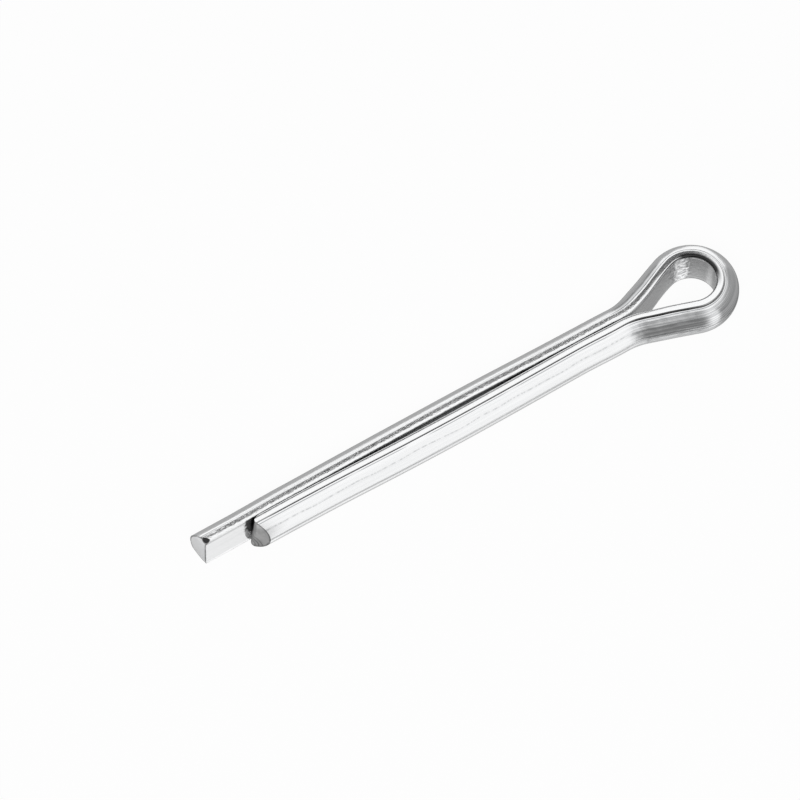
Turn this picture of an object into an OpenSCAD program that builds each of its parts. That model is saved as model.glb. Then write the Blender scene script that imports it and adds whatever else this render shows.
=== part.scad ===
// Split cotter pin: one length of half-round wire, folded into an eye and two legs.
// The shank lies along +X, from the neck to the tips, and the eye lies flat in the XY plane.

/* [Wire] */
// Diameter of the shank, which the two half-round legs make together
wire_w = 4.6; // [3:0.1:8]

/* [Eye] */
// Inside diameter of the round end of the eye
eye_bore = 5.3; // [4:0.1:9]
// Angle between each flank of the eye and the shank
flank_angle = 20; // [14:1:26]
// Radius of the neck's bends, on the flat face of the wire
neck_r = 4.7; // [4.2:0.1:7]

/* [Legs] */
// Length of the short leg, from the neck to its tip
short_leg = 44.3; // [30:0.1:80]
// How far the long leg reaches past the short one
extension = 5.5; // [2:0.1:8]
// Slit between the flat faces of the legs
slit = 0.2; // [0.16:0.02:0.2]

/* [Tips] */
// Slant of the cut across the short leg, which leaves its round side shorter
short_cut = 25; // [5:1:35]
// Slant of the cut across the long leg, which leaves its round side longer
long_cut = 11; // [2:1:20]
// Radius that the cut leaves on the end of the short leg's flat face
short_tip_r = 0.8; // [0.3:0.1:1]
// Radius that the cut leaves on the end of the long leg's flat face
long_tip_r = 0.3; // [0.1:0.1:0.5]

/* [Hidden] */
$fn = 96;

eye_r = eye_bore / 2;
neck_drop = neck_r * (1 - cos(flank_angle));
flank_len = (eye_r * cos(flank_angle) - neck_drop - slit / 2) / sin(flank_angle);
eye_reach = (eye_r + neck_r) * sin(flank_angle) + flank_len * cos(flank_angle);

// Half-round section of the wire: its flat face on the Y axis, its round side towards +X.
// The circle is the shank's, so half the slit comes off the wire's depth
module wire_section() {
    intersection() {
        translate([-slit / 2, 0]) circle(d = wire_w);
        translate([0, -wire_w]) square([wire_w, 2 * wire_w]);
    }
}

// Straight wire along +X, with its flat face at Y = 0; what follows starts at its end
module run(length) {
    rotate([90, 0, 90]) linear_extrude(length) wire_section();
    translate([length, 0, 0]) children();
}

// Bend towards the round side, with its radius on the flat face; what follows starts at its end
module bend(radius, angle) {
    translate([0, radius, 0]) {
        rotate([0, 0, -90])
            rotate_extrude(angle = angle)
                translate([radius, 0]) mirror([1, 0]) wire_section();
        rotate([0, 0, angle]) translate([0, -radius, 0]) children();
    }
}

// Straight wire that ends in a slanted cut, which leaves a radius on the end of its flat face
module cut_run(length, slant, tip_r) {
    centre = [-tip_r * (1 + sin(slant)) / cos(slant), tip_r];
    difference() {
        rotate([90, 0, 90]) linear_extrude(length + wire_w) wire_section();
        translate([length, 0, -wire_w]) linear_extrude(2 * wire_w) difference() {
            polygon([
                centre,
                [centre.x, -wire_w],
                [2 * wire_w, -wire_w],
                [2 * wire_w, wire_w],
                [-wire_w * tan(slant), wire_w],
                centre + tip_r * [cos(slant), sin(slant)]
            ]);
            translate(centre) circle(r = tip_r);
        }
    }
}

// Round end of the eye: one bend from flank to flank
module eye_end() {
    translate([-eye_reach, 0, 0])
        rotate([0, 0, 90 - flank_angle])
            rotate_extrude(angle = 180 + 2 * flank_angle)
                translate([eye_r, 0]) wire_section();
}

// One flank of the eye, the neck's bend and the leg that follows
module leg(length, slant, tip_r) {
    translate([-eye_reach, 0, 0])
        rotate([0, 0, -flank_angle])
            translate([0, eye_r, 0])
                run(flank_len)
                    bend(neck_r, flank_angle)
                        cut_run(length, slant, tip_r);
}

module cotter_pin() {
    color("silver") {
        eye_end();
        leg(short_leg, short_cut, short_tip_r);
        mirror([0, 1, 0]) leg(short_leg + extension, -long_cut, long_tip_r);
    }
}

cotter_pin();
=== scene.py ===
"""Split cotter pin of half-round wire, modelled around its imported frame."""

import math

import bmesh
import bpy
from bpy.props import FloatProperty, FloatVectorProperty, PointerProperty
from mathutils import Matrix, Vector


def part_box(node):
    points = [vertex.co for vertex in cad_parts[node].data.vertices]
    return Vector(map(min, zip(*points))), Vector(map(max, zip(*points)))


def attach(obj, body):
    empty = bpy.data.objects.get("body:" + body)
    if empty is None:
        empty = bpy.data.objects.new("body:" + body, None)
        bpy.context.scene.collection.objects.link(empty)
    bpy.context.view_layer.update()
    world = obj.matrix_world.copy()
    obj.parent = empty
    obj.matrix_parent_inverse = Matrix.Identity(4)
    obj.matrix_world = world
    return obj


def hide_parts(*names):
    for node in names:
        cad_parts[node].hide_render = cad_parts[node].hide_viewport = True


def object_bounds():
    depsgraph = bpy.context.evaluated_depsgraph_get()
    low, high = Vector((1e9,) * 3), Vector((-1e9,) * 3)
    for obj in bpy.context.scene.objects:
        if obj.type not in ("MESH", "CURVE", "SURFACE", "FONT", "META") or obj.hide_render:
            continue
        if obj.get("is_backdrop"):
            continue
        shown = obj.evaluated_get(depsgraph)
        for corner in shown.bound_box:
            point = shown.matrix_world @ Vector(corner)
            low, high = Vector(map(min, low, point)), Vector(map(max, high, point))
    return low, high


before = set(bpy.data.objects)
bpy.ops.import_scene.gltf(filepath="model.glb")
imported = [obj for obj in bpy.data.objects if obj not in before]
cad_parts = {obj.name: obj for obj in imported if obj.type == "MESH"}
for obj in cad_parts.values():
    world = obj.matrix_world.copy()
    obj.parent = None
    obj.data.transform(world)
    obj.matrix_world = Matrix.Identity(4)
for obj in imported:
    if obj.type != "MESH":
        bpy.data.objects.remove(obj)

bl_info = {
    "name": "Cotter Pin",
    "version": (1, 0, 0),
    "blender": (4, 5, 0),
    "location": "View3D > Sidebar > Cotter Pin",
    "description": "Folds a half-round wire into a split cotter pin and sets up its studio",
    "category": "Object",
}

MM = 0.001
NODE = "cotter_pin"
BODY = "root"
NODE_LOW, NODE_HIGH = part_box(NODE)
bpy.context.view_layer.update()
UP = Vector((0, 0, 1))

# Material slots of the pin
PLATED, SHEARED, BURRED = 0, 1, 2

# Distances that count as none: from a plane, between doubles, and from the crease's line
ON_PLANE, CLOSE, ON_CREASE = 1e-9, 1e-7, 1e-6

# Half width of the crease, rounding of the ridge, and width of the burrs
CREASE_HALF = 0.09 * MM
RIDGE_ROUNDING = 0.08 * MM
BURR_WIDTH = 0.10 * MM

# Edges of the shank's circle, and cuts across the flat face
CIRCLE_EDGES, FLAT_CUTS = 128, 9

# Steps round half of the eye, along a flank and round a neck bend, and length of a leg's steps
EYE_STEPS, FLANK_STEPS, NECK_STEPS = 54, 14, 16
LEG_STEP = 0.4 * MM

# Last stretch of each leg, the spare wire that the cuts take off, and how far back they reach
TIP_STRETCH, SPARE, TIP_REACH = 4 * MM, 3 * MM, 10 * MM

# Where the bow of the legs starts, before the neck, and where it ends
BOW_LEAD, BOW_END = 1 * MM, 41 * MM

# Drifts of each leg's wire towards the short leg, and between which places, in millimetres
SHORT_DRIFT = ((0.12, -5, -2), (-0.12, 1, 6), (-0.06, 26, 36))
LONG_DRIFT = ((0.34, -7, -3), (-0.24, -3, 2), (-0.05, 8, 18), (-0.05, 22, 34), (0.12, 40, 47))

# Share of the drift that each millimetre of depth loses beside the eye
DRIFT_LOSS = 0.28

# Swelling of the eye's inner edges, as a share, and crown of the flat face inside the bend
SWELLING, CROWN = 0.045, 0.08 * MM

# Lengths along the near flank and the far flank over which the swelling fades
NEAR_FADE, FAR_FADE = 6 * MM, 3 * MM

# Cut ends: steps of the radius, lean of the short cut, and height and slope of each rolled edge
RADIUS_STEPS = 8
SHORT_LEAN = math.radians(5)
SHORT_ROLLS = ((1.75 * MM, 0.5),)
LONG_ROLLS = ((1.45 * MM, 0.25), (1.8 * MM, 0.6), (-1.2 * MM, -0.15))

# Corner that is nicked off the long leg's end, its facing, and the middle of its stain
NICK = Vector((49.4, -0.3, 2.0)) * MM
NICK_FACING = Vector((0.55, 0.35, 0.76)).normalized()
STAIN = Vector((49.35, -0.3, 2.1)) * MM

# Middle of the curved marks on the short leg's end
SHEAR_MARKS = Vector((44.4, 0.55, -1.7)) * MM

# Edges that turn by more than this are drawn sharp
SHARP_ANGLE = math.radians(24)

# Screens round the pin: darkness, bearing, outer and inner half width, bottom and top edge
SCREENS = (
    (0.78, 70, 34, 4, (-0.72, -0.58), (0.45, 0.25)),
    (0.50, 66, 34, 14, (0.25, 0.42), (0.90, 0.80)),
    (0.65, 10, 66, 56, (0.10, 0.25), (0.99, 0.95)),
    (0.96, 255, 32, 21, (0.45, 0.54), (0.91, 0.78)),
)

# Half width of the floor, share of its own white, place of the lamp, and width of the sensor
FLOOR_HALF = 3.0
PAPER_GLOW = 0.95
LAMP_RISE, LAMP_DISTANCE = 1.3, 1.0
SENSOR_WIDTH = 36.0


class PinSizes(bpy.types.PropertyGroup):
    """Sizes of the folded wire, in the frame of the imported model."""

    wire_width: FloatProperty(
        name="Wire width",
        description="Diameter of the shank that the two half-round legs make",
        default=NODE_HIGH.z - NODE_LOW.z,
        unit="LENGTH",
        precision=5,
    )
    eye_centre: FloatProperty(
        name="Eye centre",
        description="Place of the eye's round end along the shank",
        default=-8.302 * MM,
        unit="LENGTH",
        precision=5,
    )
    eye_radius: FloatProperty(
        name="Eye radius",
        description="Radius of the eye's round end, on the wire's flat face",
        default=2.585 * MM,
        unit="LENGTH",
        precision=5,
    )
    flank_angle: FloatProperty(
        name="Flank angle",
        description="Angle between each flank of the eye and the shank",
        default=math.radians(19.93),
        subtype="ANGLE",
    )
    neck_radius: FloatProperty(
        name="Neck radius",
        description="Radius of the neck's bends, on the wire's flat face",
        default=8.5 * MM,
        unit="LENGTH",
        precision=5,
    )
    closed_gap: FloatProperty(
        name="Closed gap",
        description="Gap between the flat faces where the legs close",
        default=0.09 * MM,
        unit="LENGTH",
        precision=5,
    )
    short_bow: FloatProperty(
        name="Short leg's bow",
        description="How far the short leg stands off at its middle",
        default=0.20 * MM,
        unit="LENGTH",
        precision=5,
    )
    long_bow: FloatProperty(
        name="Long leg's bow",
        description="How far the long leg stands off at its middle",
        default=0.13 * MM,
        unit="LENGTH",
        precision=5,
    )
    short_end: FloatProperty(
        name="Short leg's end",
        description="Where the short leg's flat face ends",
        default=44.8 * MM,
        unit="LENGTH",
        precision=5,
    )
    long_end: FloatProperty(
        name="Long leg's end",
        description="Where the long leg's flat face ends",
        default=49.70 * MM,
        unit="LENGTH",
        precision=5,
    )
    short_slant: FloatProperty(
        name="Short leg's slant",
        description="Slant of the cut across the short leg",
        default=math.radians(33),
        subtype="ANGLE",
    )
    long_slant: FloatProperty(
        name="Long leg's slant",
        description="Slant of the cut across the long leg",
        default=math.radians(-9),
        subtype="ANGLE",
    )
    short_tip_radius: FloatProperty(
        name="Short tip's radius",
        description="Radius that the cut leaves on the end of the short leg's flat face",
        default=0.6 * MM,
        unit="LENGTH",
        precision=5,
    )
    long_tip_radius: FloatProperty(
        name="Long tip's radius",
        description="Radius that the cut leaves on the end of the long leg's flat face",
        default=0.15 * MM,
        unit="LENGTH",
        precision=5,
    )
    land_width: FloatProperty(
        name="Land width",
        description="Width of the rolled land beside each edge of the flat face",
        default=0.776 * MM,
        unit="LENGTH",
        precision=5,
    )
    land_tilt: FloatProperty(
        name="Land tilt",
        description="How far the land falls away from its ridge to the round side",
        default=math.radians(9.0),
        subtype="ANGLE",
    )
    ridge_depth: FloatProperty(
        name="Ridge depth",
        description="Distance of the land's ridge from the flat face",
        default=0.33 * MM,
        unit="LENGTH",
        precision=5,
    )
    edge_tilt: FloatProperty(
        name="Edge tilt",
        description="How far the land falls away from its ridge to the flat face",
        default=math.radians(5.5),
        subtype="ANGLE",
    )
    edge_radius: FloatProperty(
        name="Edge radius",
        description="Rounding of the edges of the flat face",
        default=0.2 * MM,
        unit="LENGTH",
        precision=5,
    )
    crease_depth: FloatProperty(
        name="Crease depth",
        description="Depth of the crease between the land and the round side",
        default=0.05 * MM,
        unit="LENGTH",
        precision=5,
    )


class PinFinish(bpy.types.PropertyGroup):
    """Colours of the plating and of the sheared ends."""

    plating: FloatVectorProperty(
        name="Plating",
        description="Colour of the bright zinc",
        default=(0.90, 0.905, 0.91),
        subtype="COLOR",
        min=0,
        max=1,
    )
    # Also the colour of the painted shade band on the far flank's round side
    worn_and_shade: FloatVectorProperty(
        name="Draw lines",
        description="Colour of the zinc in the draw lines",
        default=(0.40, 0.41, 0.42),
        subtype="COLOR",
        min=0,
        max=1,
    )
    # Also the colour of the painted shade in the creases, the slit and the eye's inner edge
    grime_and_shade: FloatVectorProperty(
        name="Grime",
        description="Colour of the grime in the creases and in the slit",
        default=(0.05, 0.05, 0.05),
        subtype="COLOR",
        min=0,
        max=1,
    )
    sheared: FloatVectorProperty(
        name="Sheared steel",
        description="Colour of the cut ends",
        default=(0.58, 0.58, 0.58),
        subtype="COLOR",
        min=0,
        max=1,
    )


class PinStudio(bpy.types.PropertyGroup):
    """Camera, lamp and floor."""

    turn: FloatProperty(
        name="Camera turn",
        description="Turn of the camera about the vertical, from the +X axis",
        default=math.radians(58.05),
        subtype="ANGLE",
    )
    elevation: FloatProperty(
        name="Camera elevation",
        description="Height of the camera above the horizon",
        default=math.radians(60.4),
        subtype="ANGLE",
    )
    distance: FloatProperty(
        name="Camera distance",
        description="Distance of the camera from its target",
        default=1.6864,
        unit="LENGTH",
    )
    view_width: FloatProperty(
        name="View width",
        description="Width of the frame at the target",
        default=80.95 * MM,
        unit="LENGTH",
        precision=5,
    )
    target: FloatVectorProperty(
        name="Camera target",
        description="Point at the middle of the frame",
        default=(23.618 * MM, -4.695 * MM, 0.0),
        subtype="XYZ",
        unit="LENGTH",
    )
    lamp_power: FloatProperty(
        name="Lamp power",
        description="Power of the key lamp",
        default=5.5,
        unit="POWER",
    )
    lamp_size: FloatProperty(
        name="Lamp size",
        description="Diameter of the key lamp",
        default=0.5,
        unit="LENGTH",
    )
    floor: FloatVectorProperty(
        name="Floor",
        description="Colour of the floor",
        default=(0.9, 0.9, 0.9),
        subtype="COLOR",
        min=0,
        max=1,
    )


class Shade:
    """One output of a node. Operators on it add Math nodes to the same tree."""

    def __init__(self, tree, socket=None):
        self.tree = tree
        self.socket = socket

    def add(self, kind, settings=None, inputs=None, output=0):
        """Adds a node, sets it up, fills or links its sockets and returns one output."""
        node = self.tree.nodes.new(kind)
        for name, value in (settings or {}).items():
            setattr(node, name, value)
        for name, value in (inputs or {}).items():
            if isinstance(value, Shade):
                self.tree.links.new(value.socket, node.inputs[name])
            else:
                node.inputs[name].default_value = value
        return Shade(self.tree, node.outputs[output]) if node.outputs else None

    def other(self, output):
        """Another output of the same node."""
        return Shade(self.tree, self.socket.node.outputs[output])

    def math(self, operation, first, second=0.0):
        """Adds a Math node."""
        return self.add("ShaderNodeMath", {"operation": operation}, {0: first, 1: second})

    def __add__(self, other):
        return self.math("ADD", self, other)

    def __radd__(self, other):
        return self.math("ADD", other, self)

    def __sub__(self, other):
        return self.math("SUBTRACT", self, other)

    def __rsub__(self, other):
        return self.math("SUBTRACT", other, self)

    def __mul__(self, other):
        return self.math("MULTIPLY", self, other)

    def __rmul__(self, other):
        return self.math("MULTIPLY", other, self)

    def __truediv__(self, other):
        return self.math("DIVIDE", self, other)

    def __abs__(self):
        return self.math("ABSOLUTE", self)

    def root(self):
        return self.math("SQRT", self)

    def at_least(self, other):
        return self.math("MAXIMUM", self, other)

    def at_most(self, other):
        return self.math("MINIMUM", self, other)

    def step(self, start, end):
        """Rises smoothly from 0 at start to 1 at end, or falls where end is less."""
        rising = end > start
        low, high = (start, end) if rising else (end, start)
        return self.add(
            "ShaderNodeMapRange",
            {"interpolation_type": "SMOOTHSTEP"},
            {"Value": self, "From Min": low, "From Max": high,
             "To Min": 0.0 if rising else 1.0, "To Max": 1.0 if rising else 0.0},
        )

    def vector(self, operation, other, output="Vector"):
        """Adds a Vector Math node on this vector and a fixed one."""
        return self.add(
            "ShaderNodeVectorMath", {"operation": operation}, {0: self, 1: tuple(other)}, output,
        )

    def scaled(self, x, y, z):
        """This vector with each part scaled."""
        return self.vector("MULTIPLY", (x, y, z))

    def along(self, direction):
        """This vector's part along a direction."""
        return self.vector("DOT_PRODUCT", direction, "Value")

    def distance(self, place):
        """How far this place is from a fixed one."""
        return self.vector("DISTANCE", place, "Value")

    def parts(self):
        """This vector's three parts."""
        first = self.add("ShaderNodeSeparateXYZ", None, {0: self})
        return [first.other(number) for number in range(3)]

    def noise(self, detail=2.0, rough=0.5):
        """Noise of about 0 to 1 at this place."""
        return self.add(
            "ShaderNodeTexNoise", {"noise_dimensions": "3D"},
            {"Vector": self, "Scale": 1.0, "Detail": detail, "Roughness": rough},
        )

    def bump(self, unit):
        """The normal of a surface with this relief, in a unit of length."""
        return self.add(
            "ShaderNodeBump", None, {"Strength": 1.0, "Distance": unit, "Height": self}, "Normal",
        )

    def mix(self, first, second):
        """Mixes two colours by this value, by the Mix node's sockets for colours."""
        first, second = (
            colour if isinstance(colour, Shade) else (*colour, 1) for colour in (first, second)
        )
        return self.add("ShaderNodeMix", {"data_type": "RGBA"}, {0: self, 6: first, 7: second}, 2)


def new_material(name):
    """An empty node material, and a wrapper on its tree."""
    material = bpy.data.materials.new(name)
    material.use_nodes = True
    material.node_tree.nodes.clear()
    return material, Shade(material.node_tree)


def metal(shade, colour, roughness, **sockets):
    """Ends a material's tree in bare metal."""
    sockets = {"Base Color": colour, "Metallic": 1.0, "Roughness": roughness, **sockets}
    surface = shade.add("ShaderNodeBsdfPrincipled", None, sockets)
    shade.add("ShaderNodeOutputMaterial", None, {"Surface": surface})


def plated_wire(finish, sizes):
    """Bright zinc on drawn wire: lines along the wire, a speckled land, soft waviness."""
    material, shade = new_material("plated_wire")
    wire = shade.add("ShaderNodeAttribute", {"attribute_name": "wire"}, output="Vector")
    place = shade.add("ShaderNodeTexCoord", None, None, "Object").parts()

    # Places on the wire and on the pin, in millimetres
    run, depth, height = (part / MM for part in wire.parts())
    from_crown = abs(run)
    aside = abs(height)
    x = place[0] / MM
    z = place[2] / MM
    land = sizes.land_width / MM

    # Patterns that the drawing of the wire and the bending of the eye leave
    fine = wire.scaled(45.0, 5200.0, 5200.0).noise(2.0, 0.6)
    hair = wire.scaled(130.0, 8500.0, 8500.0).noise(2.0, 0.6)
    broad = wire.scaled(18.0, 1700.0, 1700.0).noise(2.0, 0.5)
    speck = wire.scaled(2600.0, 5200.0, 5200.0).noise(2.0, 0.6)
    dash = wire.scaled(170.0, 0.0, 0.0).noise(1.0, 0.5)
    dots = wire.scaled(1900.0, 0.0, 0.0).noise(3.0, 0.7)
    wrinkle = wire.scaled(3000.0, 3000.0, 2600.0).noise(0.0, 0.5)
    dent = wire.scaled(700.0, 1100.0, 1100.0).noise(1.0, 0.5)

    # Areas of the wire: across its section first, then along its run
    flat = depth.step(0.06, 0.02)
    on_land = depth.step(0.80, 0.70) * aside.step(1.95, 2.05)
    round_side = depth.step(0.80, 0.95)
    near = run.step(-2.0, 4.0)
    far = run.step(1.0, -1.0)
    eye = from_crown.step(14.0, 11.0)
    bend = from_crown.step(12.0, 9.0)
    spots = run.step(-5.8, -4.9) * run.step(-2.4, -3.2)
    far_flank = run.step(-14.0, -12.0) * run.step(-4.5, -7.0)

    # Painted shade in the creases, in the slit and on the eye's inner edge
    crease = (abs(depth - land) - 0.06 * eye).step(0.085, 0.04)
    crease = crease * near * (0.3 + 0.4 * run.step(3.0, 7.0) + 0.22 * eye)
    crease = crease.at_least(0.6 * abs(depth - 1.3).step(0.14, 0.05) * far_flank)
    mouth = x - 0.65 * z.step(-0.6, 0.4) + 0.7 * (wrinkle - 0.5)
    slit = flat * x.step(-2.0, -0.5) * mouth.step(44.4, 44.1)
    slit = slit * (0.25 + 0.7 * x.step(40.0, 43.0))
    shadow = depth.step(0.6, 0.2) * aside.step(1.95, 2.15)
    shadow = shadow * run.step(-4.6, -3.2) * run.step(2.5, 0.0)
    brim = depth.step(0.16, 0.06) * aside.step(2.08, 2.22) * bend
    brim = brim.at_least(1.2 * shadow)
    dirt_and_shade = crease.at_least(slit).at_least(0.95 * brim)

    # Duller zinc in the lines along the wire and between the wrinkles, and painted shade in a
    # band on the far flank's round side
    streak_and_shade = fine.step(0.57, 0.45) * round_side * (0.1 + 0.4 * eye * near)
    streak_and_shade = streak_and_shade + 0.55 * hair.step(0.44, 0.36) * round_side * eye * near
    # Painted shade: a darker band on the round side of the far flank
    streak_and_shade = streak_and_shade + 0.5 * depth.step(2.0, 1.0) * round_side * far_flank
    second = abs(depth - 1.02).step(0.06, 0.02) * dash.step(0.35, 0.5) * near
    third = abs(depth - 1.75 - 0.4 * (dash - 0.5)).step(0.08, 0.02) * near * (1 - eye)
    third = third * (0.2 + 0.8 * dots.step(0.42, 0.58))
    lines = streak_and_shade + 0.9 * second + 0.5 * third
    lines = lines + 0.5 * spots * flat * wrinkle.step(0.55, 0.4)
    colour = lines.at_most(1.0).mix(finish.plating, finish.worn_and_shade)
    # Painted shade: the creases, the slit and the eye's inner edge are darkened
    colour = dirt_and_shade.mix(colour, finish.grime_and_shade)

    # Relief, in micrometres
    relief = (5.6 + (10.4 + 14.0 * eye * near) * round_side) * fine
    relief = relief + 10.0 * round_side * broad
    relief = relief + (4.0 + 40.0 * on_land * (1 - 0.85 * bend) * far) * speck
    relief = relief + (10.0 + 34.0 * spots) * flat * eye * wrinkle
    relief = relief + 60.0 * round_side * eye * dent
    roughness = 0.13 + 0.1 * fine + 0.08 * speck * on_land
    metal(shade, colour, roughness, Normal=relief.bump(1.0e-6))
    return material


def sheared_end(finish):
    """Grey steel of the cut ends, with the curved marks of the shear."""
    material, shade = new_material("sheared_end")
    place = shade.add("ShaderNodeTexCoord", None, None, "Object")
    wire = shade.add("ShaderNodeAttribute", {"attribute_name": "wire"}, output="Vector")
    depth, height = (part / MM for part in wire.parts()[1:])
    long_leg = place.along((1, 0, 0)).step(46 * MM, 47 * MM)
    grain = place.scaled(3800.0, 3800.0, 3800.0).noise(3.0, 0.6)
    patch = place.scaled(900.0, 900.0, 900.0).noise(2.0, 0.5)

    # Grime in the shear's marks, in the nicked corner and along the rim
    reach = place.distance(SHEAR_MARKS) / MM
    mark = shade.math("SINE", 15.0 * reach + 4.0 * patch).step(0.3, 0.9) * reach.step(1.7, 1.1)
    nick = (place.distance(STAIN) / MM).step(0.5, 0.3)
    outline = (depth * depth + height * height).root().step(2.08, 2.2)
    outline = outline.at_least(long_leg * depth.step(0.14, 0.04)) * patch.step(0.25, 0.5)
    dirt_and_shade = (0.6 * mark).at_least(0.95 * nick).at_least(0.6 * outline)

    dark = tuple(0.72 * part for part in finish.sheared)
    colour = patch.step(0.35, 0.7).mix(finish.sheared, dark)
    # Painted light: the long leg's end is painted lighter than the short leg's end, close to the
    # plating's colour
    colour = (0.9 * long_leg).mix(colour, finish.plating)
    colour = dirt_and_shade.mix(colour, finish.grime_and_shade)
    roughness = 0.34 + 0.2 * grain + 0.22 * long_leg
    metal(shade, colour, roughness, Normal=(grain + 1.5 * patch).bump(8.0e-6))
    return material


def burred_edge(finish):
    """Dull, darker rim that the shear leaves round each cut end."""
    material, shade = new_material("burred_edge")
    place = shade.add("ShaderNodeTexCoord", None, None, "Object")
    grain = place.scaled(2600.0, 2600.0, 2600.0).noise(2.0, 0.5)
    metal(shade, grain.step(0.35, 0.65).mix(finish.worn_and_shade, finish.grime_and_shade), 0.4)
    return material


def part_way(value, start, end):
    """How far a value has come from start to end, between 0 and 1."""
    return min(max((value - start) / (end - start), 0), 1)


def eased(value, start, end):
    """Goes smoothly from 0 at start to 1 at end."""
    way = part_way(value, start, end)
    return way * way * (3 - 2 * way)


class Fold:
    """Lengths of the folded path that follow from the sizes."""

    def __init__(self, sizes):
        radius, angle, neck = sizes.eye_radius, sizes.flank_angle, sizes.neck_radius
        self.sizes = sizes
        self.half_width = sizes.wire_width / 2
        self.eye = Vector((sizes.eye_centre, 0, 0))
        drop = radius * math.cos(angle) - neck * (1 - math.cos(angle)) - sizes.closed_gap / 2
        self.flank = drop / math.sin(angle)
        reach = (radius + neck) * math.sin(angle) + self.flank * math.cos(angle)
        self.neck_x = sizes.eye_centre + reach
        self.neck_y = neck + sizes.closed_gap / 2

    def bow(self, x, side):
        """How far a leg stands off at x."""
        most = self.sizes.short_bow if side > 0 else self.sizes.long_bow
        way = part_way(x, self.neck_x - BOW_LEAD, BOW_END)
        return most * (1 - math.cos(2 * math.pi * way)) / 2

    def drift(self, x, side):
        """How far the wire lies off the middle line at x, towards the short leg."""
        drifts = SHORT_DRIFT if side > 0 else LONG_DRIFT
        return MM * sum(far * eased(x / MM, start, end) for far, start, end in drifts)

    def swollen(self, point):
        """Where the eye's bend pushes a point: inner edges thicken and the flat face crowns."""
        sizes = self.sizes
        if point.x > self.neck_x:
            return point
        run, depth, height = self.unbent(point)
        past = abs(run) - sizes.eye_radius * (math.pi / 2 + sizes.flank_angle)
        outward = Vector((point.x - self.eye.x, point.y, 0)).normalized()
        if past > 0:
            across = math.copysign(math.cos(sizes.flank_angle), point.y)
            outward = Vector((math.sin(sizes.flank_angle), across, 0))
        bend = 1 - part_way(past, 0, NEAR_FADE if run > 0 else FAR_FADE)
        edge = (1 - part_way(depth, 0, sizes.ridge_depth)) * bend
        crown = CROWN * edge * (1 - (height / self.half_width) ** 2)
        return point + SWELLING * edge * point.z * UP - crown * outward

    def unbent(self, point):
        """The place of a point in the wire before it was folded: run, depth and height."""
        sizes = self.sizes
        side = 1 if point.y >= 0 else -1
        x, y = point.x, abs(point.y)
        turn = math.pi / 2 + sizes.flank_angle
        eye_run = sizes.eye_radius * turn
        neck_run = sizes.neck_radius * sizes.flank_angle
        if x >= self.neck_x:
            run = eye_run + self.flank + neck_run + x - self.neck_x
            depth = y - sizes.closed_gap / 2 - self.bow(x, side)
            return Vector((side * run, depth, point.z))
        cosine, sine = math.cos(sizes.flank_angle), math.sin(sizes.flank_angle)
        across = (x - self.eye.x) * sine + y * cosine
        forward = (x - self.eye.x) * cosine - y * sine
        if forward < 0:
            angle = math.atan2(y, self.eye.x - x)
            depth = math.hypot(x - self.eye.x, y) - sizes.eye_radius
            return Vector((side * sizes.eye_radius * angle, depth, point.z))
        if forward < self.flank:
            return Vector((side * (eye_run + forward), across - sizes.eye_radius, point.z))
        angle = math.atan2(self.neck_x - x, self.neck_y - y)
        depth = sizes.neck_radius - math.hypot(x - self.neck_x, y - self.neck_y)
        run = eye_run + self.flank + sizes.neck_radius * (sizes.flank_angle - angle)
        return Vector((side * run, depth, point.z))


def cut(mesh, place, outward, on_part):
    """Cuts the part that a test picks at a plane, and closes it with one face."""
    chosen = [v for v in mesh.verts if on_part(v.co)]
    inside = set(chosen)
    edges = [e for e in mesh.edges if inside.issuperset(e.verts)]
    faces = [f for f in mesh.faces if inside.issuperset(f.verts)]
    result = bmesh.ops.bisect_plane(
        mesh, geom=chosen + edges + faces, dist=ON_PLANE,
        plane_co=place, plane_no=outward, clear_outer=True,
    )
    rim = [e for e in result["geom_cut"] if isinstance(e, bmesh.types.BMEdge)]
    rim = [e for e in rim if len(e.link_faces) < 2]
    if not rim:
        raise RuntimeError("a cut met no wire")
    return bmesh.ops.contextual_create(mesh, geom=rim)["faces"]


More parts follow.
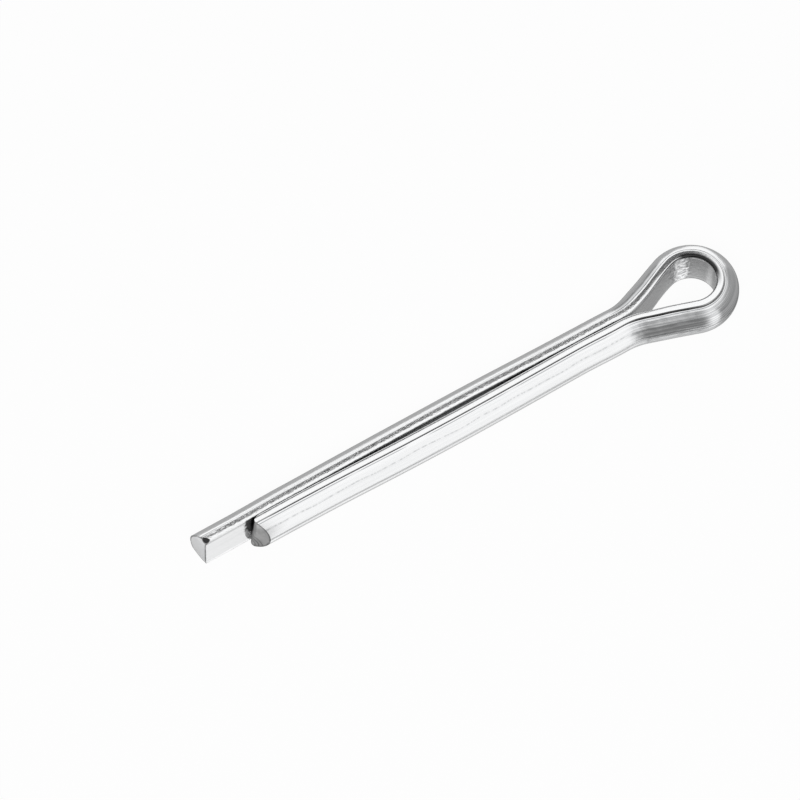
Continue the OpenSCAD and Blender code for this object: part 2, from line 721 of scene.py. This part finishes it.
def wire_section(mesh, fold):
    """The half-round section at the eye's crown, as a loop of edges with no face."""
    sizes = fold.sizes
    radius = fold.half_width
    bmesh.ops.create_circle(mesh, cap_ends=True, segments=CIRCLE_EDGES, radius=radius)
    split(mesh, Vector(), Vector((-1, 0, 0)), True)
    land = math.sqrt(radius ** 2 - sizes.land_width ** 2)
    rise = (sizes.land_width - sizes.ridge_depth) * math.tan(sizes.land_tilt)
    slopes = (
        (sizes.land_width, land, sizes.land_tilt),
        (sizes.ridge_depth, land + rise, -sizes.edge_tilt),
    )
    for side in (1, -1):
        for depth, height, tilt in slopes:
            outward = Vector((math.sin(tilt), side * math.cos(tilt), 0))
            split(mesh, Vector((depth, side * height, 0)), outward, True)
    corners = [v for v in mesh.verts if v.co.x < CLOSE]
    ridges = [v for v in mesh.verts if abs(v.co.x - sizes.ridge_depth) < CLOSE]
    ridges = [v for v in ridges if abs(v.co.y) > land]
    for bend, width in ((corners, sizes.edge_radius), (ridges, RIDGE_ROUNDING)):
        bmesh.ops.bevel(
            mesh, geom=bend, offset=width, offset_type="OFFSET", segments=5,
            profile=0.5, affect="VERTICES", material=-1,
        )
    for place in (-CREASE_HALF, CREASE_HALF):
        split(mesh, Vector((sizes.land_width + place, 0, 0)), Vector((1, 0, 0)), False)
    for vertex in mesh.verts:
        if abs(vertex.co.x - sizes.land_width) < ON_CREASE and abs(vertex.co.y) > radius / 2:
            vertex.co -= vertex.co.normalized() * sizes.crease_depth
    chords = [e for e in mesh.edges if len(e.link_faces) > 1]
    bmesh.ops.dissolve_edges(mesh, edges=chords, use_verts=False, use_face_split=False)
    flat = [e for e in mesh.edges if all(v.co.x < CLOSE for v in e.verts)]
    bmesh.ops.subdivide_edges(mesh, edges=flat, cuts=FLAT_CUTS)
    bmesh.ops.delete(mesh, geom=mesh.faces[:], context="FACES_ONLY")
    crown = Matrix((
        (-1, 0, 0, fold.eye.x - sizes.eye_radius),
        (0, 0, 1, 0),
        (0, 1, 0, 0),
        (0, 0, 0, 1),
    ))
    bmesh.ops.transform(mesh, matrix=crown, verts=mesh.verts[:])
    return mesh.edges[:]


def split(mesh, place, outward, clear):
    """Splits a flat section along a line, and clears what lies outward."""
    bmesh.ops.bisect_plane(
        mesh, geom=mesh.verts[:] + mesh.edges[:] + mesh.faces[:], dist=ON_PLANE,
        plane_co=place, plane_no=outward, clear_outer=clear,
    )


def swept(mesh, loop, steps, shift=(0, 0, 0), centre=(0, 0, 0), angle=0.0):
    """Carries a loop of edges on in steps, straight or round a centre; the last loop."""
    corners = dict.fromkeys(v for e in loop for v in e.verts)
    result = bmesh.ops.spin(
        mesh, geom=list(loop) + list(corners), cent=centre, axis=UP, dvec=shift,
        angle=angle, steps=steps, use_merge=False, use_duplicate=False,
    )
    return [e for e in result["geom_last"] if isinstance(e, bmesh.types.BMEdge)]


def folded_half(mesh, crown, fold, side):
    """Half of the eye, its flank, the neck's bend and one leg past its end."""
    sizes = fold.sizes
    angle = sizes.flank_angle
    end = sizes.short_end if side > 0 else sizes.long_end
    loop = swept(mesh, crown, EYE_STEPS, centre=fold.eye, angle=-side * (math.pi / 2 + angle))
    slope = Vector((math.cos(angle), -side * math.sin(angle), 0))
    loop = swept(mesh, loop, FLANK_STEPS, shift=slope * fold.flank / FLANK_STEPS)
    neck = Vector((fold.neck_x, side * fold.neck_y, 0))
    loop = swept(mesh, loop, NECK_STEPS, centre=neck, angle=side * angle)
    run = end - TIP_STRETCH - fold.neck_x
    steps = round(run / LEG_STEP)
    loop = swept(mesh, loop, steps, shift=(run / steps, 0, 0))
    swept(mesh, loop, 1, shift=(TIP_STRETCH + SPARE, 0, 0))


def sheared_tip(mesh, fold, tip, side):
    """Cuts a leg's end on the slant, with a radius on the end of its flat face.

    The new faces are marked in the tip layer, which faces that a later cut divides keep.
    """
    sizes = fold.sizes
    if side > 0:
        end, slant, radius = sizes.short_end, sizes.short_slant, sizes.short_tip_radius
        lean, rolls = SHORT_LEAN, SHORT_ROLLS
    else:
        end, slant, radius = sizes.long_end, sizes.long_slant, sizes.long_tip_radius
        lean, rolls = 0.0, LONG_ROLLS

    def on_leg(point):
        return point.x > end - TIP_REACH and side * point.y > 0

    back = radius * (1 + math.sin(slant)) / math.cos(slant)
    centre = Vector((end - back, side * (sizes.closed_gap / 2 + radius), 0))
    planes = []
    for step in range(RADIUS_STEPS):
        turn = slant - (slant + math.pi / 2) * step / RADIUS_STEPS
        outward = Vector((math.cos(turn), side * math.sin(turn), 0))
        planes.append((centre + radius * outward, (outward + lean * UP).normalized()))
    place, outward = planes[0]
    for height, slope in rolls:
        planes.append((place + UP * height, (outward + slope * UP).normalized()))
    if side < 0:
        planes.append((NICK, NICK_FACING))
    for number, (place, outward) in enumerate(planes):
        for face in cut(mesh, place, outward, on_leg):
            face.material_index = PLATED if number == RADIUS_STEPS - 1 else SHEARED
            face[tip] = 1


def burred_rims(mesh, tip):
    """Rounds the rims of the cut ends over."""
    rim = [e for e in mesh.edges if len({f[tip] for f in e.link_faces}) > 1]
    burrs = bmesh.ops.bevel(
        mesh, geom=rim, offset=BURR_WIDTH, offset_type="OFFSET", segments=3,
        profile=0.5, affect="EDGES", material=-1, clamp_overlap=True,
    )
    for face in burrs["faces"]:
        face.material_index = BURRED


def worked(mesh, fold):
    """Swells, bows and shifts the wire, and notes where each point lay in the unbent wire."""
    for vertex in mesh.verts:
        vertex.co = fold.swollen(vertex.co)
        side = 1 if vertex.co.y > 0 else -1
        vertex.co.y += side * fold.bow(vertex.co.x, side)
    layer = mesh.verts.layers.float_vector.new("wire")
    for vertex in mesh.verts:
        wire = fold.unbent(vertex.co)
        vertex[layer] = wire
        full = 1 - DRIFT_LOSS * wire.y / MM * eased(vertex.co.x, 2 * MM, -3 * MM)
        vertex.co.y += full * fold.drift(vertex.co.x, 1 if wire.x > 0 else -1)


class PIN_OT_fold_wire(bpy.types.Operator):
    """Folds the half-round wire into the eye and the two legs."""

    bl_idname = "pin.fold_wire"
    bl_label = "Fold Wire"

    def execute(self, context):
        scene = context.scene
        sizes = scene.pin_sizes
        finish = scene.pin_finish
        fold = Fold(sizes)
        mesh = bmesh.new()
        tip = mesh.faces.layers.int.new("tip")
        crown = wire_section(mesh, fold)
        for side in (1, -1):
            folded_half(mesh, crown, fold, side)
        bmesh.ops.remove_doubles(mesh, verts=mesh.verts[:], dist=CLOSE)
        for side in (1, -1):
            sheared_tip(mesh, fold, tip, side)
        bmesh.ops.recalc_face_normals(mesh, faces=mesh.faces[:])
        burred_rims(mesh, tip)
        mesh.faces.layers.int.remove(tip)
        worked(mesh, fold)
        for face in mesh.faces:
            face.smooth = True
        for edge in mesh.edges:
            edge.smooth = edge.calc_face_angle(0) < SHARP_ANGLE
        pin = bpy.data.objects.new("cotter_pin_wire", bpy.data.meshes.new("cotter_pin_wire"))
        mesh.to_mesh(pin.data)
        mesh.free()
        for material in (plated_wire(finish, sizes), sheared_end(finish), burred_edge(finish)):
            pin.data.materials.append(material)
        scene.collection.objects.link(pin)
        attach(pin, BODY)
        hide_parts(NODE)
        return {"FINISHED"}


def facing(direction, turn):
    """How nearly a direction's bearing is a given turn from the +X axis, as a cosine."""
    turn = math.radians(turn)
    z = direction.parts()[2]
    level = (1 - z * z).at_least(0.0001).root()
    return direction.along((math.cos(turn), math.sin(turn), 0)) / level


def screen(direction, turn, outer, inner, bottom, top):
    """A soft-edged screen about a bearing: two half widths in degrees, two pairs of heights."""
    z = direction.parts()[2]
    start, end = (math.cos(math.radians(width)) for width in (outer, inner))
    return facing(direction, turn).step(start, end) * z.step(*bottom) * z.step(*top)


def studio_world():
    """White all round, with darker screens, a grey table behind and a dimmer one below."""
    world = bpy.data.worlds.new("studio")
    world.use_nodes = True
    world.node_tree.nodes.clear()
    shade = Shade(world.node_tree)
    direction = shade.add("ShaderNodeTexCoord", None, None, "Generated")
    z = direction.parts()[2]

    # Table behind the pin, and the dim end of the room
    end = screen(direction, 158, 46, 38, (-0.80, -0.66), (0.80, 0.30))
    back = facing(direction, 231)
    edge = (1.11 * shade.math("ARCCOSINE", back.at_most(1.0)) - 0.42).at_most(0.1) - z
    table = edge.step(-0.04, 0.04) * back.step(0.17, 0.5)
    grey = 1.08 * (1 - 0.66 * end).at_most(1 - 0.6 * table)
    for darkness, *place in SCREENS:
        grey = grey * (1 - darkness * screen(direction, *place))

    # Paper under the pin, as the plating reflects it
    lit = facing(direction, 110).step(0.78, 0.98)
    side = facing(direction, 320).step(0.93, 0.985)
    below = (0.36 + 0.62 * lit + 0.2 * side) * (0.45 + 0.83 * z.step(-0.79, -0.93))
    below = below + (0.62 - below) * z.step(-0.92, -0.97)
    grey = grey + (below - grey) * z.step(-0.66, -0.78)

    camera = shade.add("ShaderNodeLightPath", None, None, "Is Camera Ray")
    diffuse = camera.other("Is Diffuse Ray")
    sky = camera.mix(grey * (1 - 0.55 * diffuse), (1, 1, 1))
    shader = shade.add("ShaderNodeBackground", None, {"Color": sky, "Strength": 1.0})
    shade.add("ShaderNodeOutputWorld", None, {"Surface": shader})
    return world


def studio_floor(studio):
    """White paper that stays white to the camera and takes a soft shadow.

    Reflections don't see it: the world holds what the plating reflects from below.
    """
    material, shade = new_material("white_paper")
    camera = shade.add("ShaderNodeLightPath", None, None, "Is Camera Ray")
    seen = PAPER_GLOW * (camera + camera.other("Is Transmission Ray"))
    paper = shade.add("ShaderNodeBsdfDiffuse", None, {"Color": (*studio.floor, 1)})
    glow = shade.add("ShaderNodeEmission", None, {"Color": (1, 1, 1, 1), "Strength": 1.0})
    shader = shade.add("ShaderNodeMixShader", None, {0: seen, 1: paper, 2: glow})
    shade.add("ShaderNodeOutputMaterial", None, {"Surface": shader})
    return material


def aimed(thing, target, toward, distance):
    """Puts a lamp or a camera at a distance from the target, and turns it to face it."""
    thing.location = target + toward * distance
    thing.rotation_mode = "QUATERNION"
    thing.rotation_quaternion = (-toward).to_track_quat("-Z", "Y")


class PIN_OT_set_studio(bpy.types.Operator):
    """Lays the floor, and sets up the surroundings, the lamp and the camera."""

    bl_idname = "pin.set_studio"
    bl_label = "Set Studio"

    def execute(self, context):
        scene = context.scene
        studio = scene.pin_studio
        target = Vector(studio.target)
        level = Vector((math.cos(studio.turn), math.sin(studio.turn), 0))
        mesh = bmesh.new()
        bmesh.ops.create_grid(mesh, x_segments=1, y_segments=1, size=FLOOR_HALF)
        bmesh.ops.translate(mesh, vec=(0, 0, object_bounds()[0].z), verts=mesh.verts[:])
        floor = bpy.data.objects.new("floor", bpy.data.meshes.new("floor"))
        mesh.to_mesh(floor.data)
        mesh.free()
        floor.data.materials.append(studio_floor(studio))
        scene.collection.objects.link(floor)
        floor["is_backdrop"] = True
        floor.visible_glossy = False
        scene.world = studio_world()
        lamp = bpy.data.lights.new("key", "AREA")
        lamp.shape = "DISK"
        lamp.size = studio.lamp_size
        lamp.energy = studio.lamp_power
        key = bpy.data.objects.new("key", lamp)
        aimed(key, target, (level + LAMP_RISE * UP).normalized(), LAMP_DISTANCE)
        key.visible_glossy = False
        scene.collection.objects.link(key)
        lens = bpy.data.cameras.new("camera")
        lens.sensor_width = SENSOR_WIDTH
        lens.lens = SENSOR_WIDTH * studio.distance / studio.view_width
        lens.clip_start = 0.01
        lens.clip_end = 20.0
        camera = bpy.data.objects.new("camera", lens)
        toward = math.cos(studio.elevation) * level + math.sin(studio.elevation) * UP
        aimed(camera, target, toward, studio.distance)
        scene.collection.objects.link(camera)
        scene.camera = camera
        scene.view_settings.view_transform = "Standard"
        return {"FINISHED"}


class PIN_PT_panel(bpy.types.Panel):
    """Lists the pin's sizes, finish and studio."""

    bl_idname = "PIN_PT_panel"
    bl_label = "Cotter Pin"
    bl_space_type = "VIEW_3D"
    bl_region_type = "UI"
    bl_category = "Cotter Pin"

    def draw(self, context):
        scene = context.scene
        groups = (
            (scene.pin_sizes, PIN_OT_fold_wire),
            (scene.pin_finish, None),
            (scene.pin_studio, PIN_OT_set_studio),
        )
        for group, operator in groups:
            box = self.layout.box()
            for name in group.__annotations__:
                box.prop(group, name)
            if operator:
                box.operator(operator.bl_idname)


CLASSES = (
    PinSizes, PinFinish, PinStudio, PIN_OT_fold_wire, PIN_OT_set_studio, PIN_PT_panel,
)
GROUPS = {"pin_sizes": PinSizes, "pin_finish": PinFinish, "pin_studio": PinStudio}


def register():
    for kind in CLASSES:
        bpy.utils.register_class(kind)
    for name, kind in GROUPS.items():
        setattr(bpy.types.Scene, name, PointerProperty(type=kind))


def unregister():
    for name in GROUPS:
        delattr(bpy.types.Scene, name)
    for kind in reversed(CLASSES):
        bpy.utils.unregister_class(kind)


def main():
    register()
    bpy.ops.pin.fold_wire()
    bpy.ops.pin.set_studio()


if __name__ == "__main__":
    main()
